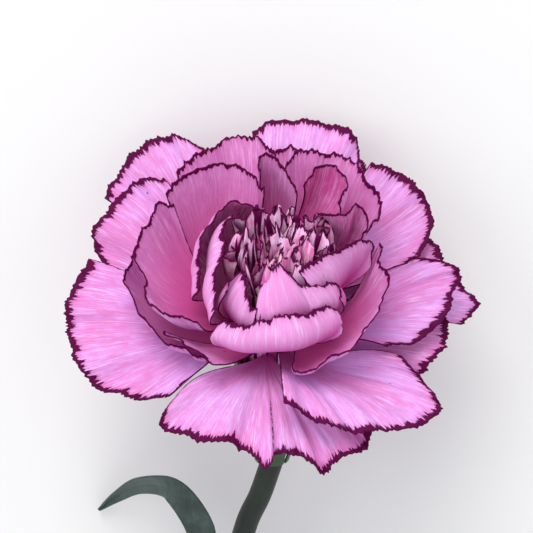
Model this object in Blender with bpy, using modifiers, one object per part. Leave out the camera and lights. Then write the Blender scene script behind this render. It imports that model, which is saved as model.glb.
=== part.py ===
"""A cut carnation lying on a surface: stem, leaves, calyx, ovary, styles and every petal.

Metres, +Z up, resting on z = 0 with the origin under the middle of the flower. The stem
points along +Y and the bloom faces -Y and up.
"""

import math

import bmesh
import bpy
import numpy as np
from mathutils import Vector

MM = 0.001

# Where the bloom sits: the middle of the flower's throat, and how the calyx bends up into it.
MOUTH = Vector((-4.4, -74.3, 26.45)) * MM
STEM_TILT = math.radians(10)
BLOOM_TILT = math.radians(40)
BEND_LENGTH = 12 * MM

# Calyx, receptacle and ovary, along the flower's axis from the throat (down is negative):
# outlines as (radius, height) in millimetres.
CALYX_WALL = 0.7
CALYX_OUTLINE = ((2.4, -32.0), (3.0, -30.2), (4.3, -26.0), (6.3, -18.0), (7.4, -10.0), (8.0, -6.0))
CALYX_FLOOR = -29.4
CALYX_STEPS = 30
TOOTH_COUNT = 5
TOOTH_LENGTH = 3.4
TOOTH_LEAN = 0.25
RECEPTACLE_OUTLINE = ((0, -29.0), (2.0, -29.0), (3.2, -25.5), (5.0, -18.0), (0, -18.0))
OVARY_RADIUS = 1.5
OVARY_SPAN = (-17.6, -8.8)
STYLE_RADIUS = 0.3
STYLE_TOP = 15.0
SCALE_COUNT = 4
SCALE_SPAN = (-31.6, -22.0)
SCALE_WIDTH = 76

# Stem: its middle line as (across, along, height above the surface) in millimetres, with
# across and along measured from the throat. It swells at each joint, where two leaves grow.
STEM_PATH = (
    (0.2, 31.5, 17.9), (2.4, 38.7, 16.6), (5.2, 45.7, 15.4), (8.3, 58.7, 13.3), (12.0, 75.7, 10.6),
    (16.0, 105.7, 6.8), (18.0, 135.7, 4.0), (18.0, 160.7, 2.7), (17.0, 180.7, 2.3),
)
STEM_RADIUS = 2.3
JOINT_SWELL = 0.9
JOINT_LENGTH = 3.0
JOINTS_ALONG = (58.7, 103.0, 147.0)
LEAF_THICKNESS = 0.6
LEAVES = {
    "upper_leaf_left": (5.6, (
        (12.7, 58, 14.5), (14, 46, 20.6), (17, 38.5, 23), (21, 35.5, 20.6), (27, 38.5, 12),
        (32, 44, 4.5), (36, 48.5, 0.5),
    )),
    "upper_leaf_right": (4.6, (
        (4.2, 60, 14), (0, 70, 17), (-6, 82, 17), (-14, 94, 12), (-22, 104, 5), (-28, 111, 0.5),
    )),
    "middle_leaf_left": (4.4, (
        (19.8, 104, 8.5), (25, 111, 13), (33, 124, 13), (40, 138, 8), (46, 150, 2.6),
        (49, 156, 0.5),
    )),
    "middle_leaf_right": (4.4, (
        (11.6, 105, 8.5), (7, 114, 12), (2, 126, 12), (-4, 140, 8), (-10, 152, 3), (-13, 158, 0.5),
    )),
    "lower_leaf_left": (4.0, (
        (22.3, 148, 4.5), (28, 156, 8.5), (34, 168, 7), (40, 179, 2.5), (43, 184, 0.5),
    )),
    "lower_leaf_right": (4.0, (
        (14.1, 149, 4.5), (9, 158, 8.5), (4, 170, 7), (-1, 181, 2.5), (-4, 186, 0.5),
    )),
}

# Petals. A ring is the circle that the claws of one tier stand on.
PETAL_THICKNESS = 0.4 * MM
RING_RADIUS = {"outer": 6.4, "middle": 5.2, "cup": 4.1, "centre": 2.9}
CLAW_WIDTH = {"outer": 1.7, "middle": 1.9, "cup": 1.8, "centre": 1.2}
CLAW_FOOT = -17.6
CLAW_TAPER = 0.2
FAN_POWER = 2.2
REACH = {"outer": 0.4, "middle": 0.45, "cup": 0.6, "centre": 0.4}
BELLY_SHARE = 0.35

# Each petal: bearing of its claw, height where it leaves the claw, angle of departure,
# angle of arrival at the rim, then the rim from one side to the other as
# (bearing, radius, height). A cup petal has, in place of the angle of arrival, how far out
# its belly bulges before it curls in to the rim. Degrees and millimetres about the flower's
# axis: bearing 0 is -X, 90 is the side that faces the ground and 270 the side that faces
# the sky.
PETALS = {
    "outer": (
        (200, 1.8, 25, 2, (
            (165, 37, 11), (181, 40, 10), (192, 40, 9), (206, 38, 7), (219, 31, 7), (226, 24, 8),
        )),
        (170, 1.0, 28, 5, (
            (165, 34, 9), (158, 38, 11), (150, 38, 13), (141, 38, 14), (135, 36, 15),
            (130, 33, 16),
        )),
        (148, 0.0, 30, 5, ((144, 41, 11), (131, 43, 13), (120, 42, 15), (113, 34, 17))),
        (88, 0.2, 28, 5, ((96, 38, 14), (81, 40, 16), (68, 40, 15.5), (60, 36, 14), (54, 33, 12.5))),
        (48, 2.2, 22, 8, ((56, 35, 16), (44, 38, 14), (32, 37, 12.5), (18, 30, 11), (14, 23, 11))),
        (28, 0.4, 30, 0, ((30, 34, 9), (22, 36, 8), (12, 33, 7))),
        (347, 1.2, 25, 2, (
            (15, 27, 14), (15, 31, 14), (10, 37, 12), (4, 36, 12), (353, 33, 10), (340, 27, 10),
            (334, 24, 11),
        )),
        (322, 0.2, 30, 0, ((2, 34, 6), (349, 34, 5), (337, 31, 4), (336, 24, 6))),
        (8, -0.6, 35, -20, ((16, 38, 3), (8, 41, 1), (1, 37, 1))),
        (288, 2.0, 25, -2, (
            (275, 24, 13), (289, 29, 12), (296, 32, 11), (308, 35, 9), (324, 39, 6), (330, 36, 6),
            (337, 27, 8),
        )),
        (261, 1.0, 30, -5, (
            (226, 25, 8), (229, 33, 7), (238, 32, 7), (251, 31, 7), (262, 31, 6), (268, 34, 6),
            (272, 31, 6), (280, 32, 5), (286, 35, 4), (291, 34, 4), (301, 34, 4), (308, 31, 4),
        )),
        (68, -0.8, 40, -20, ((74, 34, 1), (62, 38, -0.4), (48, 33, 0))),
        (108, -0.8, 40, -10, ((110, 34, 3), (94, 37, 3), (78, 34, 3))),
        (128, -0.8, 40, -20, ((140, 33, 0), (126, 38, -1.9), (114, 34, 0.5))),
    ),
    "middle": (
        (124, 3.4, 25, 50, (
            (131, 28, 22), (124, 30, 22), (117, 31, 22), (107, 32, 22), (98, 31, 22.5),
            (92, 29, 23), (89, 26, 23),
        )),
        (64, 3.0, 22, 45, ((93, 28, 19), (85, 30, 20), (70, 30, 20.5), (58, 30, 20))),
        (34, 4.4, 25, 60, (
            (85, 21, 22.5), (84, 23, 24), (77, 26, 25), (65, 28, 25), (56, 28, 25), (42, 26, 25),
            (29, 24, 25), (24, 21, 24),
        )),
        (184, 4.6, 28, 75, (
            (145, 23, 25), (148, 25, 25), (159, 26, 25), (171, 26, 24.5), (185, 25, 23.5),
            (198, 24, 22.5), (208, 21, 21.5), (213, 17, 20),
        )),
        (214, 3.4, 28, 80, (
            (163, 27, 18.5), (172, 28, 18.5), (183, 27.5, 18.5), (196, 26, 17), (209, 22.5, 14.5),
            (219, 20, 12.5), (224, 18, 11.5),
        )),
        (246, 4.0, 28, 60, ((206, 22.5, 17), (215, 21.5, 16.5), (226, 20, 15.5), (238, 18.5, 14))),
        (154, 4.4, 25, 75, (
            (145, 25, 27), (136, 25, 27), (120, 25, 27), (107, 21, 27), (99, 18, 27), (97, 16, 27),
        )),
        (94, 5.2, 32, 85, (
            (99, 19, 27), (96, 21, 28), (95, 22, 29), (85, 20, 29), (75, 17, 28), (73, 14, 27),
        )),
        (322, 3.8, 22, 75, (
            (284, 15, 13), (286, 18, 14), (301, 20, 17), (316, 21, 20), (332, 22, 22),
            (350, 22, 23), (3, 21, 24), (14, 21, 24),
        )),
    ),
    "cup": (
        (150, 4.6, 50, 11.5, (
            (193, 14, 20), (177, 14, 23), (163, 14, 25), (145, 14, 27), (132, 14, 28),
            (122, 13, 29), (110, 11, 29), (100, 9, 29),
        )),
        (190, 5.4, 50, 11, (
            (127, 12, 27), (142, 11, 28), (174, 9, 28), (187, 10, 27), (206, 12, 25),
            (219, 13.5, 22),
        )),
        (230, 6.0, 50, 9.5, (
            (209, 10, 22), (204, 8.5, 24), (200, 6, 25), (224, 6.5, 25), (238, 8, 23),
            (251, 8.5, 21.5),
        )),
        (270, 4.8, 40, 12.8, (
            (222, 14.5, 17), (225, 13.5, 19), (243, 12, 20), (259, 10, 21), (281, 9.5, 22),
            (303, 11, 22), (320, 12.5, 22), (327, 13.5, 21), (326, 14.8, 19),
        )),
        (308, 6.0, 48, 11, (
            (256, 7, 22), (250, 5, 24), (262, 3, 27), (300, 2.5, 28), (312, 5, 27.5),
            (314, 8, 26.3), (330, 10, 25), (341, 11.5, 24), (342, 13, 22.5), (338, 13.5, 20.5),
        )),
        (345, 6.4, 42, 10, (
            (324, 6, 27.5), (338, 6.5, 28.5), (350, 8.5, 28.5), (0, 11, 28), (7, 13, 28),
            (11, 16, 28), (12, 18.5, 27), (11, 19.5, 25), (8, 19.5, 22),
        )),
        (25, 6.0, 38, 9, (
            (19, 18, 24), (22, 19.5, 27), (33, 19.5, 29), (31, 17, 30), (32, 14, 30), (45, 12, 29),
        )),
        (68, 6.6, 38, 11, (
            (69, 17, 27), (67, 20, 28), (64, 22, 29), (58, 22.5, 30), (52, 21.5, 30),
            (44, 19.5, 30), (41, 16.5, 29),
        )),
    ),
    "centre": (
        (0, 6.0, 60, 100, ((340, 8, 25), (355, 9, 27), (15, 9, 26))),
        (40, 6.4, 60, 95, ((22, 11, 26), (40, 12, 28), (58, 11, 26))),
        (80, 6.4, 65, 95, ((66, 9, 26), (84, 10, 28), (100, 9, 26))),
        (120, 6.4, 65, 95, ((108, 9, 26), (126, 10, 28), (142, 9, 26))),
        (160, 6.0, 65, 95, ((150, 8, 26), (168, 8, 27), (184, 8, 25))),
        (200, 6.0, 65, 100, ((190, 5, 22.5), (206, 5, 23.5), (226, 4.5, 22))),
        (240, 6.0, 65, 100, ((232, 4, 22), (252, 5, 24), (280, 5, 22))),
        (280, 6.0, 70, 100, ((290, 3, 22), (320, 4, 25), (350, 4, 23))),
        (320, 6.0, 70, 95, ((20, 4, 25), (70, 4, 27), (120, 4, 25))),
    ),
}


FLOWER = bpy.data.collections.new("cut_carnation")


def turn(angle):
    """The axis and the sky-ward direction of the flower where it is tilted by this angle."""
    axis = Vector((0, -math.cos(angle), math.sin(angle)))
    skyward = Vector((0, math.sin(angle), math.cos(angle)))
    return axis, skyward


def place(across, skyward, height):
    """World point of a place in the flower: metres across, sky-ward and along its bent axis."""
    if height >= 0:
        axis, side = turn(BLOOM_TILT)
        centre = MOUTH + height * axis
    else:
        rate = (BLOOM_TILT - STEM_TILT) / BEND_LENGTH
        along = max(height, -BEND_LENGTH)
        angle = BLOOM_TILT + rate * along
        axis, side = turn(angle)
        centre = MOUTH + Vector((
            0,
            -(math.sin(angle) - math.sin(BLOOM_TILT)) / rate,
            (math.cos(BLOOM_TILT) - math.cos(angle)) / rate,
        ))
        centre = centre + (height - along) * axis
    return centre + Vector((-across, 0, 0)) + skyward * side


def place_polar(bearing, radius, height):
    """World point from a bearing in degrees, and a radius and a height in millimetres."""
    angle = math.radians(bearing)
    return place(radius * MM * math.cos(angle), -radius * MM * math.sin(angle), height * MM)


def through(points, share):
    """A point of the smooth curve through a list of points, with share running from 0 to 1."""
    points = [Vector(p) for p in points]
    count = len(points) - 1
    spot = min(share * count, count - 1e-9)
    index = int(spot)
    t = spot - index
    before = points[index - 1] if index > 0 else 2 * points[0] - points[1]
    after = points[index + 2] if index + 2 <= count else 2 * points[-1] - points[-2]
    start, end = points[index], points[index + 1]
    return (
        start
        + 0.5 * t * (end - before)
        + t * t * (before - 2.5 * start + 2 * end - 0.5 * after)
        + t * t * t * (1.5 * (start - end) + 0.5 * (after - before))
    )


def unwrapped(rim, near):
    """The rim with each bearing within half a turn of the one before, starting near a bearing."""
    result = []
    for bearing, radius, height in rim:
        bearing = near + (bearing - near + 180) % 360 - 180
        near = bearing
        result.append((bearing, radius, height))
    return result


def petal_point(tier, claw, across, along):
    """A point of a petal's middle surface; along runs from the claw's foot (-1) to the rim (1)."""
    bearing, leave, depart, arrive, rim = claw
    ring = RING_RADIUS[tier]
    swing = math.degrees(CLAW_WIDTH[tier] / ring) * (across - 0.5) * rim_sense(claw)
    if along < 0:
        height = leave - along * (CLAW_FOOT - leave)
        taper = 1 - CLAW_TAPER * max(height / CLAW_FOOT, 0)
        return place_polar(bearing + swing, ring * taper, height)
    end_bearing, end_radius, end_height = through(unwrapped(rim, bearing), across)
    reach = REACH[tier] * math.hypot(end_radius - ring, end_height - leave)
    start = Vector((ring, leave))
    end = Vector((end_radius, end_height))
    away = start + reach * Vector((math.cos(math.radians(depart)), math.sin(math.radians(depart))))
    if tier == "cup":
        back = Vector((arrive + 0.5 * end_radius, end_height - BELLY_SHARE * (end_height - leave)))
    else:
        back = end - reach * Vector((math.cos(math.radians(arrive)), math.sin(math.radians(arrive))))
    s = along
    spot = (1 - s) ** 3 * start + 3 * s * (1 - s) ** 2 * away + 3 * s * s * (1 - s) * back + s ** 3 * end
    fan = 1 - (1 - s) ** FAN_POWER
    heading = bearing + swing + (end_bearing - bearing - swing) * fan
    return place_polar(heading, spot.x, spot.y)


def rim_sense(claw):
    """1 where the rim runs towards larger bearings, -1 where it runs towards smaller ones."""
    rim = unwrapped(claw[4], claw[0])
    return 1 if rim[-1][0] > rim[0][0] else -1


def material(name, colour, roughness=0.6):
    shade = bpy.data.materials.new(name)
    shade.use_nodes = True
    principled = shade.node_tree.nodes["Principled BSDF"]
    principled.inputs["Base Color"].default_value = (*colour, 1)
    principled.inputs["Roughness"].default_value = roughness
    principled.inputs["Metallic"].default_value = 0
    shade.diffuse_color = (*colour, 1)
    return shade


def add_object(name, mesh, shade):
    part = bpy.data.objects.new(name, mesh)
    part.data.materials.append(shade)
    FLOWER.objects.link(part)
    return part


def mesh_of(name, bm):
    bm.normal_update()
    bmesh.ops.recalc_face_normals(bm, faces=bm.faces)
    for face in bm.faces:
        face.smooth = True
    mesh = bpy.data.meshes.new(name)
    bm.to_mesh(mesh)
    bm.free()
    return mesh


def sheet(name, across, along, point, thickness, shade):
    """A thin closed piece: a grid bent by a formula, then given a thickness."""
    bm = bmesh.new()
    bmesh.ops.create_grid(bm, x_segments=across, y_segments=along, size=0.5)
    for vertex in bm.verts:
        vertex.co = point(vertex.co.x + 0.5, vertex.co.y + 0.5)
    part = add_object(name, mesh_of(name, bm), shade)
    solidify = part.modifiers.new("thickness", "SOLIDIFY")
    solidify.thickness = thickness
    solidify.offset = 0
    solidify.use_even_offset = False
    return part


def turned(name, outline, steps, shade):
    """A closed round body turned from (radius, height) in millimetres and bent with the flower."""
    bm = bmesh.new()
    ends = [bm.verts.new((radius, 0, height)) for radius, height in outline]
    edges = [bm.edges.new(pair) for pair in zip(ends, ends[1:])]
    bmesh.ops.spin(bm, geom=ends + edges, axis=(0, 0, 1), cent=(0, 0, 0), angle=2 * math.pi, steps=steps)
    bmesh.ops.remove_doubles(bm, verts=bm.verts, dist=0.001)
    for vertex in bm.verts:
        lift_teeth(vertex)
        vertex.co = place(*(vertex.co * MM))
    return add_object(name, mesh_of(name, bm), shade)


def lift_teeth(vertex):
    """Draws the calyx mouth up into pointed teeth that lean out."""
    if abs(vertex.co.z - CALYX_OUTLINE[-1][1]) > 0.01:
        return
    share = (math.atan2(vertex.co.y, vertex.co.x) / (2 * math.pi) * TOOTH_COUNT) % 1
    lift = TOOTH_LENGTH * (1 - abs(2 * share - 1))
    lean = 1 + TOOTH_LEAN * lift / vertex.co.xy.length
    vertex.co = Vector((vertex.co.x * lean, vertex.co.y * lean, vertex.co.z + lift))


def radius_on(outline, height):
    """Radius of an outline at a height."""
    return float(np.interp(height, [point[1] for point in outline], [point[0] for point in outline]))


def rod(name, points, radii, shade):
    """A round rod along points in metres, with a radius at each."""
    curve = bpy.data.curves.new(name, "CURVE")
    curve.dimensions = "3D"
    curve.bevel_depth = MM
    curve.bevel_resolution = 4
    curve.use_fill_caps = True
    spline = curve.splines.new("POLY")
    spline.points.add(len(points) - 1)
    for spot, point, radius in zip(spline.points, points, radii):
        spot.co = (*point, 1)
        spot.radius = radius
    spline.use_smooth = True
    return add_object(name, curve, shade)


def build_petals(shades):
    grids = {"outer": (6, 6), "middle": (6, 6), "cup": (6, 7), "centre": (2, 5)}
    for tier, claws in PETALS.items():
        columns, rows = grids[tier]
        for number, claw in enumerate(claws, 1):
            def point(across, step, tier=tier, claw=claw, rows=rows):
                spot = step * (rows + 2)
                along = spot / 2 - 1 if spot < 2 else (spot - 2) / rows
                return petal_point(tier, claw, across, along)

            name = f"{tier}_petal_{number:02d}"
            sheet(name, columns, rows + 2, point, PETAL_THICKNESS, shades[tier])


def build_calyx(green):
    inner = [(radius - CALYX_WALL, height) for radius, height in CALYX_OUTLINE if height > CALYX_FLOOR]
    floor_radius = radius_on(CALYX_OUTLINE, CALYX_FLOOR) - CALYX_WALL
    outline = [(0, CALYX_OUTLINE[0][1]), *CALYX_OUTLINE, *reversed(inner), (floor_radius, CALYX_FLOOR)]
    turned("calyx", [*outline, (0, CALYX_FLOOR)], CALYX_STEPS, green)
    for number in range(SCALE_COUNT):
        middle = 360 * number / SCALE_COUNT

        def point(across, along, middle=middle):
            low, high = SCALE_SPAN
            height = low + (high - low) * along
            width = SCALE_WIDTH * (1 - along ** 2) + 6
            radius = radius_on(CALYX_OUTLINE, height) + 0.8
            return place_polar(middle + (across - 0.5) * width, radius, height)

        sheet(f"calyx_scale_{number + 1}", 8, 6, point, 0.4 * MM, green)


def build_inside(pale):
    turned("receptacle", RECEPTACLE_OUTLINE, 20, pale)
    low, high = OVARY_SPAN
    middle, half = (low + high) / 2, (high - low) / 2
    angles = [math.pi * step / 8 - math.pi / 2 for step in range(9)]
    egg = [(OVARY_RADIUS * math.cos(a), middle + half * math.sin(a)) for a in angles]
    egg[0], egg[-1] = (0, low), (0, high)
    turned("ovary", egg, 12, pale)
    for name, side in (("style_left", -1), ("style_right", 1)):
        heights = [high + 0.1 + (STYLE_TOP - high) * step / 8 for step in range(9)]
        points = [place(side * (0.5 + 0.1 * step) * MM, 0, h * MM) for step, h in enumerate(heights)]
        rod(name, points, [STYLE_RADIUS] * len(points), pale)


def from_throat(across, along, height):
    """World point from millimetres across and along from the throat, and height above the surface."""
    return Vector((MOUTH.x + across * MM, MOUTH.y + along * MM, height * MM))


def build_stem(green):
    steps = 44
    points = [from_throat(*through(STEM_PATH, step / steps)) for step in range(steps + 1)]
    radii = []
    for point in points:
        along = (point.y - MOUTH.y) / MM
        swell = sum(math.exp(-((along - joint) / JOINT_LENGTH) ** 2) for joint in JOINTS_ALONG)
        radii.append(STEM_RADIUS + JOINT_SWELL * swell)
    rod("stem", points, radii, green)


def build_leaves(green):
    for name, (width, path) in LEAVES.items():
        def point(across, along, width=width, path=path):
            middle = through(path, along)
            ahead = through(path, min(along + 0.01, 1)) - through(path, max(along - 0.01, 0))
            side = ahead.cross(Vector((0, 0, 1))).normalized()
            half = 0.5 * width * min(1, 0.55 + 2.2 * along) * (1 - along ** 2.6) + 0.3
            fold = 0.5 * (2 * across - 1) ** 2
            return from_throat(*(middle + side * half * (2 * across - 1) + Vector((0, 0, fold))))

        sheet(name, 4, 16, point, LEAF_THICKNESS * MM, green)


def build():
    for old in list(bpy.data.objects):
        bpy.data.objects.remove(old, do_unlink=True)
    bpy.context.scene.collection.children.link(FLOWER)
    build_petals({
        "outer": material("outer petal", (0.72, 0.33, 0.62)),
        "middle": material("middle petal", (0.70, 0.28, 0.58)),
        "cup": material("cup petal", (0.55, 0.16, 0.40)),
        "centre": material("centre petal", (0.60, 0.40, 0.40)),
    })
    build_calyx(material("calyx green", (0.10, 0.19, 0.09)))
    build_inside(material("pale tissue", (0.65, 0.66, 0.45)))
    build_stem(material("stem green", (0.06, 0.11, 0.07)))
    build_leaves(material("leaf blue-green", (0.07, 0.13, 0.12)))


build()
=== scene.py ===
# %% [markdown]
# # A cut carnation, lying on a table
# The flower is a picotee: pink-lilac petals that each end in a dark, saw-toothed margin. It
# lies on its side, as a cut stem without a vase does. The engineering model fixes where every
# petal, leaf and joint is. This script grows the detailed flower in the same places: thin
# ruffled petals with real teeth, a waxy calyx and stem, and keeled leaves.

# %% Load the frame
import math

import bpy
import numpy as np
from mathutils import Matrix, Vector


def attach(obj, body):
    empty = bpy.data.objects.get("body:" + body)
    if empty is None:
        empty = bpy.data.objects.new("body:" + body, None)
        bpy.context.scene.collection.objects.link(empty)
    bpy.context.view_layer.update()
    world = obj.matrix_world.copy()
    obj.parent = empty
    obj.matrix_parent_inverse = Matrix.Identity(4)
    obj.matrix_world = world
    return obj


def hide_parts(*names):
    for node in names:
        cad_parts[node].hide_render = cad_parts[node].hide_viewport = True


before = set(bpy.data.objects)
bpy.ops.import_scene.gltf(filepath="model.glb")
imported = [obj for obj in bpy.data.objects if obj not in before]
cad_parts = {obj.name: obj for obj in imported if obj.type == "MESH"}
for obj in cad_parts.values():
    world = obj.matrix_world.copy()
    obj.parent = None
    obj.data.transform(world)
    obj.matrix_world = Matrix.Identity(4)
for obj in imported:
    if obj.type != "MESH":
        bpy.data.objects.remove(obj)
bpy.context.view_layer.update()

# %% [markdown]
# ## The flower's own axis
# Every part of a flower is easiest to place round its axis: a bearing, a radius and a height.
# A heavy bloom nods on its calyx, so the axis bends by 30 degrees just below the throat.
# One function turns flower places into world places, and it works on whole arrays, because
# a ruffled petal has thousands of points.

# %% Places round the bent axis
MM = 0.001
THROAT = np.array((-4.4, -74.3, 26.45))
STEM_TILT = math.radians(10)
BLOOM_TILT = math.radians(40)
BEND_LENGTH = 12.0
BEND_RATE = (BLOOM_TILT - STEM_TILT) / BEND_LENGTH


def place(across, skyward, height):
    """World points in millimetres from arrays measured across, sky-ward and along the axis."""
    across, skyward, height = np.broadcast_arrays(across, skyward, height)
    bent = np.clip(height, -BEND_LENGTH, 0)
    angle = BLOOM_TILT + BEND_RATE * bent
    straight = height - bent
    forward = (math.sin(BLOOM_TILT) - np.sin(angle)) / BEND_RATE
    rise = (math.cos(BLOOM_TILT) - np.cos(angle)) / BEND_RATE
    x = THROAT[0] - across
    y = THROAT[1] + forward - straight * np.cos(angle) + skyward * np.sin(angle)
    z = THROAT[2] + rise + straight * np.sin(angle) + skyward * np.cos(angle)
    return np.stack([x, y, z], axis=-1)


def place_polar(bearing, radius, height):
    """World points in millimetres from bearings in degrees, radii and heights."""
    turned = np.radians(bearing)
    return place(radius * np.cos(turned), -radius * np.sin(turned), height)


print("throat of the flower:", place_polar(0, 0, 0).round(1), "mm")

# %% [markdown]
# ## The petals, one line each
# No two petals of a carnation are alike, so each has a line of its own: the bearing of its
# claw, the height at which it leaves the calyx, the angles at which it sets out and arrives,
# and a few points of its rim as bearing, radius and height. Tiers run from the guard petals
# outside to the small crinkled ones in the heart. Cup petals curl in over the heart, so
# in place of the angle of arrival they give how far out their belly bulges, in millimetres.
# One formula could place all petals in a spiral, but a florist's bloom opens unevenly, and
# the table lets each rim lie where it belongs.

# %% The petal table
RING_RADIUS = {"outer": 6.4, "middle": 5.2, "cup": 4.1, "centre": 2.9}
CLAW_WIDTH = {"outer": 1.7, "middle": 1.9, "cup": 1.8, "centre": 1.2}
CLAW_FOOT = -17.6
CLAW_TAPER = 0.2
FAN_POWER = 2.2
REACH = {"outer": 0.4, "middle": 0.45, "cup": 0.6, "centre": 0.4}
BELLY_SHARE = 0.35
PETALS = {
    "outer": (
        (200, 1.8, 25, 2, (
            (165, 37, 11), (181, 40, 10), (192, 40, 9), (206, 38, 7), (219, 31, 7), (226, 24, 8),
        )),
        (170, 1.0, 28, 5, (
            (165, 34, 9), (158, 38, 11), (150, 38, 13), (141, 38, 14), (135, 36, 15),
            (130, 33, 16),
        )),
        (148, 0.0, 30, 5, ((144, 41, 11), (131, 43, 13), (120, 42, 15), (113, 34, 17))),
        (88, 0.2, 28, 5, (
            (96, 38, 14), (81, 40, 16), (68, 40, 15.5), (60, 36, 14), (54, 33, 12.5),
        )),
        (48, 2.2, 22, 8, ((56, 35, 16), (44, 38, 14), (32, 37, 12.5), (18, 30, 11), (14, 23, 11))),
        (28, 0.4, 30, 0, ((30, 34, 9), (22, 36, 8), (12, 33, 7))),
        (347, 1.2, 25, 2, (
            (15, 27, 14), (15, 31, 14), (10, 37, 12), (4, 36, 12), (353, 33, 10), (340, 27, 10),
            (334, 24, 11),
        )),
        (322, 0.2, 30, 0, ((2, 34, 6), (349, 34, 5), (337, 31, 4), (336, 24, 6))),
        (8, -0.6, 35, -20, ((16, 38, 3), (8, 41, 1), (1, 37, 1))),
        (288, 2.0, 25, -2, (
            (275, 24, 13), (289, 29, 12), (296, 32, 11), (308, 35, 9), (324, 39, 6), (330, 36, 6),
            (337, 27, 8),
        )),
        (261, 1.0, 30, -5, (
            (226, 25, 8), (229, 33, 7), (238, 32, 7), (251, 31, 7), (262, 31, 6), (268, 34, 6),
            (272, 31, 6), (280, 32, 5), (286, 35, 4), (291, 34, 4), (301, 34, 4), (308, 31, 4),
        )),
        (68, -0.8, 40, -20, ((74, 34, 1), (62, 38, -0.4), (48, 33, 0))),
        (108, -0.8, 40, -10, ((110, 34, 3), (94, 37, 3), (78, 34, 3))),
        (128, -0.8, 40, -20, ((140, 33, 0), (126, 38, -1.9), (114, 34, 0.5))),
    ),
    "middle": (
        (124, 3.4, 25, 50, (
            (131, 28, 22), (124, 30, 22), (117, 31, 22), (107, 32, 22), (98, 31, 22.5),
            (92, 29, 23), (89, 26, 23),
        )),
        (64, 3.0, 22, 45, ((93, 28, 19), (85, 30, 20), (70, 30, 20.5), (58, 30, 20))),
        (34, 4.4, 25, 60, (
            (85, 21, 22.5), (84, 23, 24), (77, 26, 25), (65, 28, 25), (56, 28, 25), (42, 26, 25),
            (29, 24, 25), (24, 21, 24),
        )),
        (184, 4.6, 28, 75, (
            (145, 23, 25), (148, 25, 25), (159, 26, 25), (171, 26, 24.5), (185, 25, 23.5),
            (198, 24, 22.5), (208, 21, 21.5), (213, 17, 20),
        )),
        (214, 3.4, 28, 80, (
            (163, 27, 18.5), (172, 28, 18.5), (183, 27.5, 18.5), (196, 26, 17), (209, 22.5, 14.5),
            (219, 20, 12.5), (224, 18, 11.5),
        )),
        (246, 4.0, 28, 60, ((206, 22.5, 17), (215, 21.5, 16.5), (226, 20, 15.5), (238, 18.5, 14))),
        (154, 4.4, 25, 75, (
            (145, 25, 27), (136, 25, 27), (120, 25, 27), (107, 21, 27), (99, 18, 27), (97, 16, 27),
        )),
        (94, 5.2, 32, 85, (
            (99, 19, 27), (96, 21, 28), (95, 22, 29), (85, 20, 29), (75, 17, 28), (73, 14, 27),
        )),
        (322, 3.8, 22, 75, (
            (284, 15, 13), (286, 18, 14), (301, 20, 17), (316, 21, 20), (332, 22, 22),
            (350, 22, 23), (3, 21, 24), (14, 21, 24),
        )),
    ),
    "cup": (
        (150, 4.6, 50, 11.5, (
            (193, 14, 20), (177, 14, 23), (163, 14, 25), (145, 14, 27), (132, 14, 28),
            (122, 13, 29), (110, 11, 29), (100, 9, 29),
        )),
        (190, 5.4, 50, 11, (
            (127, 12, 27), (142, 11, 28), (174, 9, 28), (187, 10, 27), (206, 12, 25),
            (219, 13.5, 22),
        )),
        (230, 6.0, 50, 9.5, (
            (209, 10, 22), (204, 8.5, 24), (200, 6, 25), (224, 6.5, 25), (238, 8, 23),
            (251, 8.5, 21.5),
        )),
        (270, 4.8, 40, 12.8, (
            (222, 14.5, 17), (225, 13.5, 19), (243, 12, 20), (259, 10, 21), (281, 9.5, 22),
            (303, 11, 22), (320, 12.5, 22), (327, 13.5, 21), (326, 14.8, 19),
        )),
        (308, 6.0, 48, 11, (
            (256, 7, 22), (250, 5, 24), (262, 3, 27), (300, 2.5, 28), (312, 5, 27.5),
            (314, 8, 26.3), (330, 10, 25), (341, 11.5, 24), (342, 13, 22.5), (338, 13.5, 20.5),
        )),
        (345, 6.4, 42, 10, (
            (324, 6, 27.5), (338, 6.5, 28.5), (350, 8.5, 28.5), (0, 11, 28), (7, 13, 28),
            (11, 16, 28), (12, 18.5, 27), (11, 19.5, 25), (8, 19.5, 22),
        )),
        (25, 6.0, 38, 9, (
            (19, 18, 24), (22, 19.5, 27), (33, 19.5, 29), (31, 17, 30), (32, 14, 30), (45, 12, 29),
        )),
        (68, 6.6, 38, 11, (
            (69, 17, 27), (67, 20, 28), (64, 22, 29), (58, 22.5, 30), (52, 21.5, 30),
            (44, 19.5, 30), (41, 16.5, 29),
        )),
    ),
    "centre": (
        (0, 6.0, 60, 100, ((340, 8, 25), (355, 9, 27), (15, 9, 26))),
        (40, 6.4, 60, 95, ((22, 11, 26), (40, 12, 28), (58, 11, 26))),
        (80, 6.4, 65, 95, ((66, 9, 26), (84, 10, 28), (100, 9, 26))),
        (120, 6.4, 65, 95, ((108, 9, 26), (126, 10, 28), (142, 9, 26))),
        (160, 6.0, 65, 95, ((150, 8, 26), (168, 8, 27), (184, 8, 25))),
        (200, 6.0, 65, 100, ((190, 5, 22.5), (206, 5, 23.5), (226, 4.5, 22))),
        (240, 6.0, 65, 100, ((232, 4, 22), (252, 5, 24), (280, 5, 22))),
        (280, 6.0, 70, 100, ((290, 3, 22), (320, 4, 25), (350, 4, 23))),
        (320, 6.0, 70, 95, ((20, 4, 25), (70, 4, 27), (120, 4, 25))),
    ),
}
print("petals in the table:", sum(len(lines) for lines in PETALS.values()))

# %% [markdown]
# ## One petal's surface
# A petal could be sculpted by hand, or laid out flat and bent by modifiers. Here it is a
# formula, because its claw and rim must meet the engineering model. The profile from claw to
# rim is a Bezier curve; across, the blade fans out quickly from the narrow claw, and its rim
# follows a smooth curve through the few points of the table.

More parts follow.
